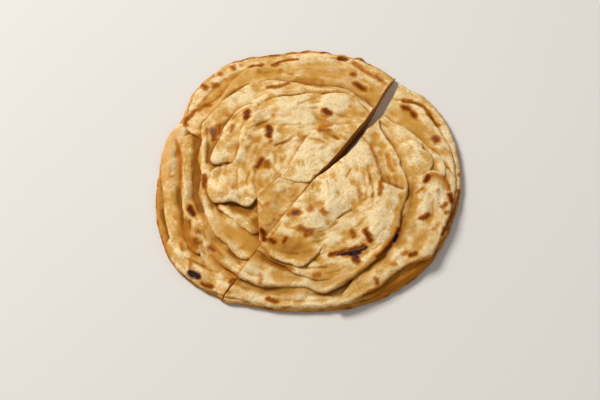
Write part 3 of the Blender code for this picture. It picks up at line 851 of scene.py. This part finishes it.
# The leaves, from the griddle up. "shape" lifts or lowers a leaf: height, width and the points it runs
# through. "sink" is where it melts into the leaf below: reach and points.
backLeaves = {
    "backBase": {
        "rim": 0.9, "level": 1.9, "thick": 3.8, "lean": 3.5, "flatUnder": True, "middle": (-25, 15),
        "gold": 0.8,
        "edge": [
            (70, 78), (60, 86), (50, 95), (42, 99.5), (37, 104.5), (31, 104.5), (25, 107), (18, 107.5),
            (12, 109.5), (5, 110.5), (-1, 111.5), (-8, 109.8), (-14, 110), (-21, 107.5), (-28, 107),
            (-35, 105.6), (-42, 105), (-50, 102.2), (-57, 100.5), (-63, 96.5), (-70, 90), (-76, 84.5),
            (-82, 76.5), (-86, 69), (-89, 58), (-93, 46), (-99, 35), (-103, 22), (-105, 8), (-106, -8),
            (-106, -24), (-104, -38), (-100.5, -50), (-97, -60), (-92, -69), (-84, -78), (-74, -86),
            (-62, -93), (-48, -99), (-20, -60), (20, 0), (60, 50)],
    },
    "backOuterTop": {
        "rim": 0.7, "level": 5.0, "thick": 1.9, "press": 0.75, "middle": (-15, 55), "gold": 0.1,
        "edge": [
            (68, 76), (60, 84), (50, 93), (42, 98), (36, 102), (29, 102.5), (22, 105), (12, 107.5),
            (2, 108.5), (-8, 108), (-20, 106), (-30, 104.5), (-42, 103), (-55, 99.5), (-62, 95), (-69, 88.5),
            (-75, 83), (-80.5, 75.5), (-84.5, 68), (-87.8, 58), (-87, 51), (-80, 44), (-60, 30), (-20, 20),
            (40, 40)],
    },
    "backOuterLow": {
        "rim": 0.5, "level": 4.8, "thick": 1.9, "press": 0.8, "middle": (-66, -62), "gold": 0.12,
        "edge": [
            (-97, -52), (-95.5, -62), (-91, -70), (-84, -77), (-76, -83.5), (-66, -89), (-56, -93),
            (-44, -97), (-30, -70), (-40, -40), (-70, -38), (-88, -42)],
    },
    "backSideA": {
        "level": 6.4, "thick": 2.0, "press": 0.7, "middle": (-86, -6),
        "shape": [
            (1.2, 5, [(-99, 20), (-100, 0), (-97, -20), (-94, -42)]),
            (-1.6, 4, [(-91, 20), (-90, 0), (-89, -20)]),
            (-3.4, 6, [(-78, 42), (-77, 10), (-77, -30), (-78, -50)])],
        "sink": [(5, [(-93, -55), (-89, -63), (-83, -64), (-78, -58)])],
        "edge": [
            (-87, 45), (-92, 46), (-97, 41), (-101, 33), (-103.5, 22), (-104.3, 10), (-103.3, -2),
            (-101.5, -12), (-100.2, -22), (-98.5, -34), (-95.5, -46), (-92.5, -56), (-89, -63), (-83, -64),
            (-77, -56), (-73, -36), (-72, 0), (-75, 30)],
    },
    "backSideB": {
        "level": 7.2, "thick": 2.0, "press": 0.35, "middle": (-78, -12),
        "shape": [
            (2.0, 3.4, [(-87, 26), (-86, 10), (-85.5, -8), (-85, -24), (-83, -40)]),
            (-3.4, 3.6, [(-80, 42), (-78.5, 20), (-78, 0), (-77, -14)])],
        "edge": [
            (-86, 35), (-91, 33), (-92.5, 27), (-90.6, 20), (-89.4, 10), (-88.8, 0), (-88.8, -12),
            (-88, -21), (-86.4, -31), (-85, -41), (-83, -52), (-80, -58), (-73, -60), (-66, -40), (-64, 0),
            (-66, 26), (-76, 40)],
    },
    "backSideC": {
        "level": 7.4, "thick": 1.9, "press": 0.5, "middle": (-68, -48),
        "shape": [(0.9, 4, [(-76, -38), (-73, -50), (-69, -62)])],
        "sink": [
            (5, [(-66, -27), (-74, -29), (-79.4, -32)]),
            (5, [(-72, -67), (-67, -72), (-61, -74), (-54, -71)])],
        "edge": [
            (-79, -32), (-81, -38), (-80.5, -46), (-77.5, -53), (-74.5, -59), (-72, -66), (-67, -72),
            (-61, -74), (-54, -70), (-52, -56), (-60, -40), (-70, -28)],
    },
    "backSideD": {
        "level": 8.0, "thick": 1.8, "press": 0.55, "middle": (-50, -56),
        "sink": [(4.5, [(-70, -36), (-71, -48), (-69.4, -56)])],
        "edge": [
            (-71, -38), (-70.5, -50), (-68.5, -58), (-65, -64), (-59.5, -69.2), (-53, -73.8), (-46, -79),
            (-38, -80), (-30, -60), (-40, -36), (-60, -28)],
    },
    "backRing2": {
        "rim": 0.6, "level": 7.2, "thick": 2.0, "press": 0.6, "middle": (-15, 40), "gold": 0.35,
        "edge": [
            (68, 68), (57, 78.5), (50, 83.5), (42, 87.5), (36, 92), (30, 97.5), (24, 100.5), (14, 103),
            (6, 104.6), (-3, 103.8), (-10, 101.8), (-16, 100.6), (-22, 98.4), (-28, 96), (-34, 95.4),
            (-40, 95), (-46, 92.4), (-52, 87.5), (-57, 82), (-61, 75.5), (-64.5, 69), (-70, 63.6),
            (-76, 60.2), (-81.5, 56), (-85, 50), (-88, 43.5), (-85, 37), (-76, 30), (-50, 10), (0, 0),
            (40, 30)],
    },
    "backRing3": {
        "level": 9.6, "thick": 2.1, "press": 0.35, "middle": (-25, 12),
        "shape": [
            (0.9, 3.0, [(-74, 30), (-75.4, 16), (-73, 2), (-74.4, -10), (-72, -22), (-67, -36)]),
            (-1.0, 3.5, [(-70, 24), (-70, 10)]),
            (-0.8, 3.5, [(-68.6, -26), (-62, -42), (-52, -56)]),
            (-3.0, 6, [(-58, -22), (-42, -24)]),
            (-1.4, 5, [(-36, -48), (-44, -60)])],
        "edge": [
            (62, 46), (52, 54), (45, 58.5), (39.5, 63), (33.5, 68), (28, 73), (21.5, 75.4), (15, 77),
            (8, 77), (0, 78), (-8, 80), (-15.5, 80.6), (-22, 82.2), (-29, 82.4), (-36, 81.4), (-41, 80.5),
            (-46, 78.2), (-51, 73.4), (-56, 69.4), (-61, 65.2), (-66.5, 58.5), (-71.5, 51.5), (-76, 44.5),
            (-76.8, 37), (-76, 29), (-77.5, 21), (-78.2, 15), (-76.2, 9), (-75.2, 0), (-76.2, -8),
            (-77, -14.5), (-74.6, -21.5), (-71.6, -29.5), (-69, -38), (-64.6, -46.4), (-58.6, -52),
            (-54.4, -57.4), (-50.2, -61.6), (-46, -64.4), (-41, -65.2), (-34, -63), (-20, -40), (10, -4),
            (40, 30)],
    },
    "backRing3Upper": {
        "level": 10.6, "thick": 1.5, "press": 0.75, "middle": (-8, 40),
        "sink": [(5, [(-34, 74), (-43, 68.4), (-49, 61), (-54, 50)])],
        "edge": [
            (56, 48), (46, 56.6), (38, 62.6), (31, 68.8), (23, 73), (14, 75), (5, 75.4), (-3, 77.4),
            (-9, 79), (-14.5, 79.4), (-18, 77.2), (-23, 75.4), (-30, 74.8), (-36, 73.2), (-43, 68.4),
            (-49, 61), (-54, 50), (-40, 20), (0, 10), (40, 34)],
    },
    "backUnder": {
        "level": 10.2, "thick": 1.7, "press": 0.5, "middle": (-45, -22),
        "shape": [(1.2, 3, [(-60, -26), (-52, -33), (-44, -40)]), (-3.0, 5, [(-57, -20), (-42, -22)])],
        "edge": [
            (-63.5, -24.4), (-60.5, -28), (-55.4, -32.6), (-50, -37.6), (-44.4, -42.4), (-38, -46),
            (-28, -40), (-24, -20), (-36, -8), (-52, -8), (-62, -16)],
    },
    "backTongue": {
        "level": 11.4, "thick": 2.1, "press": 0.4, "middle": (-55, 32),
        "shape": [
            (0.8, 4, [(-66, 14), (-62, 28), (-56, 42)]),
            (-1.4, 3, [(-51.5, 20), (-50.5, 34), (-46, 46)])],
        "edge": [
            (-38, 61), (-45, 60), (-52, 55), (-58, 46.5), (-61.6, 38), (-63.4, 31), (-66.4, 25), (-69, 18),
            (-69.4, 13.4), (-67.4, 10.6), (-63.4, 9.4), (-58, 12), (-50, 12), (-44, 30), (-36, 48)],
    },
    "backCentre": {
        "level": 12.0, "thick": 2.0, "press": 0.25, "middle": (-20, 22),
        "shape": [
            (2.2, 6, [(-62, -12), (-50, -18), (-42, -20)]),
            (-0.8, 5, [(-52, 8), (-60, 4)]),
            (-0.7, 4, [(-50, 14), (-47, 6), (-50, -2)])],
        "edge": [
            (56, 40), (44, 51), (41, 54), (38, 57.8), (34.4, 63.4), (30.4, 67.8), (25, 70.6), (17, 70),
            (9, 70.2), (1, 70.6), (-6, 69), (-14, 67.2), (-22, 67.8), (-28, 66), (-34, 61.8), (-38.6, 55),
            (-44.4, 46.8), (-49.2, 38), (-50.6, 28), (-50.8, 20), (-53, 12.6), (-58, 9), (-64, 7.6),
            (-69, 4), (-71, -4), (-70.2, -13), (-66.4, -19.6), (-61, -21.2), (-55.6, -20.4), (-50.6, -21.6),
            (-46.4, -23.8), (-42.4, -24.4), (-39.4, -22), (-37.4, -18.6), (-33, -13), (-27, -6.6),
            (-20.4, -0.2), (-8, -2), (12, 2), (36, 26)],
    },
    "wedgeFlap": {
        "rim": 0.5, "level": 11.0, "thick": 1.8, "press": 0.15, "middle": (-22, -24), "gold": 0.45,
        "shape": [(1.2, 5, [(-34, -14), (-20, -10), (-4, -9)]), (-1.6, 7, [(-30, -42), (-26, -34)])],
        "edge": [
            (-21, -0.8), (-15, -2.4), (-10, -4), (-5, -4.6), (2, -3), (6, -8), (0, -22), (-14, -44),
            (-26, -56), (-34, -52), (-35, -44), (-35.8, -36), (-36, -28), (-36.2, -22), (-37, -16.6),
            (-33.4, -12), (-28, -7.4)],
    },
    "backSeamStrip": {
        "level": 13.1, "thick": 1.5, "press": 0.4, "middle": (8, 18),
        "edge": [
            (40, 44), (24, 43), (18, 42.6), (13, 43), (9.6, 41), (5, 39), (0.6, 36.6), (-3.6, 31),
            (-7.4, 25.2), (-11, 18), (-14.6, 10.4), (-17.8, 4), (-20.4, -1), (-13, -3.4), (-6, -4.8),
            (6, -3), (24, 6), (44, 30)],
    },
}

frontLeaves = {
    "frontBase": {
        "rim": 0.7, "level": 1.9, "thick": 3.8, "lean": 3.5, "flatUnder": True, "middle": (25, -30),
        "gold": 0.7,
        "edge": [
            (56, 84), (64, 79.4), (72, 73.8), (79, 70.2), (87, 61.4), (93.4, 51.6), (98, 41.4), (101.4, 28),
            (103, 12), (103.4, -4), (102, -15), (99, -27), (95.4, -38), (90.6, -49), (84.6, -60), (77, -70),
            (66, -81), (52, -91), (38, -97.5), (20, -102), (2, -103.8), (-15, -103.6), (-30, -101.8),
            (-45, -98.2), (-60, -93), (-50, -60), (0, 10), (40, 60)],
    },
    "frontOuter": {
        "rim": 0.5, "level": 5.2, "thick": 2.1, "press": 0.7, "middle": (25, -28), "bulge": 0.5,
        "shape": [(1.0, 4, [(68, 71), (80, 65), (88, 55), (94, 43), (98, 30)])],
        "edge": [
            (52, 82), (61, 79), (66, 79.6), (72, 74.4), (79.6, 70), (86, 62.6), (91.6, 55), (95.6, 47.6),
            (99, 38.6), (101.6, 28), (103.4, 14), (103.6, 0), (102.6, -12), (99.4, -24), (95, -36),
            (89.6, -47), (83, -57), (80, -64), (73, -73), (60, -83), (46, -91), (30, -96.6), (12, -100.4),
            (-6, -101.6), (-22, -101.2), (-36, -98.6), (-50, -94.4), (-60, -90), (-50, -60), (0, 10),
            (40, 60)],
    },
    "frontRing2": {
        "level": 7.0, "thick": 1.9, "press": 0.75, "middle": (28, -22),
        "sink": [
            (6, [
                (60, -76), (44, -86), (28, -92.6), (12, -96), (-6, -96), (-22, -94.6), (-36, -92),
                (-48, -88), (-58, -84)
            ])],
        "edge": [
            (46, 74), (58, 66), (64, 64.8), (70, 64.4), (75, 63.2), (79.4, 60), (83.6, 54.2), (87.4, 47),
            (90.6, 39), (94, 31.4), (97.4, 24), (99, 14), (99.6, 2), (98.6, -10), (96, -22), (91, -36),
            (84, -50), (74, -64), (60, -76), (44, -86), (28, -92.6), (12, -96), (-6, -96), (-22, -94.6),
            (-36, -92), (-48, -88), (-58, -84), (-46, -56), (0, 10), (36, 58)],
    },
    "frontRing3": {
        "level": 8.2, "thick": 2.0, "press": 0.8, "middle": (45, 0),
        "edge": [
            (44, 60), (50, 54), (53.6, 49.6), (57.4, 45.6), (62, 43), (67, 40.2), (71.4, 36.2), (75.4, 31.2),
            (79.6, 27), (84, 22.4), (88, 18), (91.6, 13.4), (93, 6), (90, -6), (80, -30), (50, -50),
            (20, -20), (24, 30)],
    },
    "frontFlake": {
        "level": 9.4, "thick": 1.7, "press": 0.7, "middle": (68, 14),
        "shape": [(0.8, 9, [(68, 18), (72, 10)])],
        "sink": [(5, [(52, 20), (56, 34), (64, 32), (68, 31)])],
        "edge": [
            (56, 34), (64, 32), (70, 30.4), (74.6, 29.4), (77.4, 26), (78.6, 21.6), (81.4, 19.8), (84, 17.6),
            (84.6, 12.4), (83, 6), (80, 0), (70, -8), (56, -2), (52, 18)],
    },
    "frontFlat": {
        "level": 8.8, "thick": 1.9, "press": 0.3, "middle": (58, -40),
        "shape": [
            (1.8, 8, [(34, -86), (46, -78), (60, -68), (74, -60)]),
            (-1.0, 2.2, [(46, -72), (56, -67.4), (66, -62), (74, -58)]),
            (-1.6, 5, [(68, 0), (68, -16), (63, -32), (60, -44), (50, -60)])],
        "sink": [(5, [(60, 0), (68, 0), (73, 0.4)])],
        "edge": [
            (68, 0), (76, 0.4), (80, 2.4), (84, 4), (87.6, 3.2), (91, -0.2), (93.4, -5), (95, -10.4),
            (95.8, -17), (95, -25), (92.4, -33), (88.6, -43), (84.6, -52), (81.6, -60), (77, -64),
            (71, -66.4), (65, -69), (60.4, -72), (56, -75.4), (52, -78.4), (49, -81.4), (46, -84.4),
            (42, -87), (38, -89.2), (33, -92), (28, -94.8), (22, -97.4), (14, -99.6), (18, -96.6),
            (23, -93.6), (26, -90), (28.6, -85.6), (33, -80), (36, -66), (34, -30), (50, -4)],
    },
    "frontDisc": {
        "level": 10.8, "thick": 2.2, "press": 0.12, "middle": (20, -28),
        "shape": [
            (0.8, 4, [(57, 20), (62, 4), (63, -14), (58, -34), (46, -58), (28, -76)]),
            (-1.2, 3.0, [(49, -2.5), (55, -6), (63, -10)]),
            (1.2, 7, [(-12, -24), (-32, -54), (-52, -84)]),
            (-2.4, 7, [(-46, -80), (-30, -85), (-10, -86), (6, -88)])],
        "edge": [
            (20, 20), (36, 38), (46, 48), (48, 44.4), (49, 40), (51, 35), (54, 29.4), (57, 25), (59.2, 19),
            (60.8, 14), (62.2, 8), (64, 2), (65.4, -4), (66, -10), (65.4, -16), (63, -22.6), (61, -30),
            (59.8, -36), (59, -42), (56.6, -47), (52, -54), (47.4, -60), (43, -65), (38, -70.4), (33, -74.4),
            (28, -78.6), (22.4, -82.8), (17, -86), (12.4, -88.2), (8, -89.4), (4, -88.4), (0, -86.4),
            (-4, -84.8), (-10, -84.2), (-20, -84.4), (-30, -84.4), (-37, -82.8), (-45, -79), (-52, -74),
            (-44, -60), (-20, -30)],
    },
    "frontMid": {
        "level": 12.1, "thick": 1.4, "press": 0.8, "middle": (14, -36),
        "shape": [(-1.1, 2.6, [(49, -2.5), (55, -6), (63, -10)])],
        "sink": [
            (5, [
                (30, 28), (42, 30), (50, 22), (54, 8), (59, -8), (59, -20), (56, -32), (52, -44), (46, -55),
                (38, -64), (30, -72), (22, -77), (17, -79.4)
            ])],
        "edge": [
            (16, 10), (30, 28), (42, 30), (50, 22), (54, 8), (59, -8), (59, -20), (56, -32), (52, -44),
            (46, -55), (38, -64), (30, -72), (22, -77), (16, -79.6), (10, -80.6), (4, -80.2), (-1, -79.2),
            (-6, -77.6), (-11, -75.6), (-15, -72.4), (-18, -70), (-23, -68.2), (-28, -65.2), (-33, -60),
            (-38, -56), (-28, -40)],
    },
    "frontFold": {
        "level": 13.2, "thick": 1.6, "press": 0.6, "middle": (24, -8),
        "shape": [(0.6, 4, [(40, 20), (44, 4), (45, -10)])],
        "sink": [(6, [(48, -6), (46, -16), (38, -28), (20, -34), (6, -30), (0, -10)])],
        "edge": [
            (18, 22), (28, 36), (34, 34), (38, 29.4), (41, 25), (43, 20), (44.6, 14), (46.2, 8), (47.4, 3),
            (48.6, -2.4), (48, -9), (46.6, -15), (44, -22), (38, -28), (30, -32), (20, -34), (6, -30),
            (0, -10)],
    },
    "frontPillow": {
        "level": 14.0, "thick": 2.0, "press": 0.15, "middle": (2, -36),
        "shape": [(0.9, 9, [(-4, -34), (-8, -56)]), (-0.6, 4, [(-24, -58), (-16, -64)])],
        "sink": [(7, [(9, -52), (14, -42), (20, -32), (28, -26), (26, -18), (20, -6), (6, 6)])],
        "edge": [
            (6, 6), (-12, -14), (-34, -46), (-34, -54), (-30.4, -58.6), (-27, -62.4), (-22, -65.4),
            (-17.4, -67.2), (-13.6, -68), (-11, -69.6), (-8, -70.4), (-5, -70), (-2.6, -68.2), (0.4, -65.2),
            (3, -62.4), (5.4, -59.6), (9, -52.6), (12.4, -45.6), (15.6, -38.6), (20, -32), (26.4, -26.6),
            (26, -18), (20, -6)],
    },
}

stage = {
    "floorColour": (0.80, 0.78, 0.75), "floorSize": 6.0, "floorRoughness": 0.85, "floorShade": 0.96,
    "keyPlace": (-1.40, 1.10, 1.76), "keyPower": 61.0, "keySize": 0.84, "keyColour": (1.0, 0.97, 0.92),
    "fillPlace": (0.7, -0.9, 0.9), "fillPower": 1.8, "fillSize": 1.2, "fillColour": (1.0, 0.95, 0.90),
    "worldColour": (1.0, 0.98, 0.95, 1.0), "worldStrength": 0.27,
}


def makeFloor():
    mesh = bmesh.new()
    bmesh.ops.create_grid(mesh, x_segments=2, y_segments=2, size=stage["floorSize"] / 2)
    data = meshData("floor", mesh)
    material = bpy.data.materials.new("paleFloor")
    material.use_nodes = True
    tree = material.node_tree
    shader = tree.nodes["Principled BSDF"]
    place = addNode(tree, "ShaderNodeTexCoord").outputs["Object"]
    cloud = noiseNode(tree, place, 3.0, 2.0)
    darker = tuple(value * stage["floorShade"] for value in stage["floorColour"])
    tree.links.new(mixNode(tree, cloud, stage["floorColour"], darker), shader.inputs["Base Color"])
    shader.inputs["Roughness"].default_value = stage["floorRoughness"]
    data.materials.append(material)
    floor = addToScene("floor", data)


def makeLight(name):
    # a square soft light that faces the bread
    data = bpy.data.lights.new(name + "Light", "AREA")
    data.energy = stage[name + "Power"]
    data.size = stage[name + "Size"]
    data.color = stage[name + "Colour"]
    light = addToScene(name + "Light", data)
    light.location = stage[name + "Place"]
    light.rotation_euler = (-Vector(stage[name + "Place"])).to_track_quat("-Z", "Y").to_euler()


def makeStudio():
    makeLight("key")
    makeLight("fill")
    world = bpy.data.worlds.new("studio")
    world.use_nodes = True
    background = world.node_tree.nodes["Background"]
    background.inputs["Color"].default_value = stage["worldColour"]
    background.inputs["Strength"].default_value = stage["worldStrength"]
    bpy.context.scene.world = world
    bpy.context.scene.view_settings.view_transform = "Standard"


cameraView = {"lens": 85.0, "elevation": 58.0, "place": (-0.00645, -0.5333, 0.8250), "clipStart": 0.01}


def makeCamera():
    data = bpy.data.cameras.new("camera")
    data.lens = cameraView["lens"]
    data.clip_start = cameraView["clipStart"]
    camera = addToScene("camera", data)
    camera.location = cameraView["place"]
    camera.rotation_euler = (math.radians(90 - cameraView["elevation"]), 0.0, 0.0)
    bpy.context.scene.camera = camera


makeCamera()
creases += turnWrinkles(bread["seed"] + bread["wrinkleSeed"])
dough = doughMaterial("bakedDough")
bakeHalf(backLeaves, "back_half", 1, bread["seed"], dough)
bakeHalf(frontLeaves, "front_half", -1, bread["seed"] + bread["frontSeed"], dough)
makeFloor()
makeStudio()
print("floor, lights and camera placed")
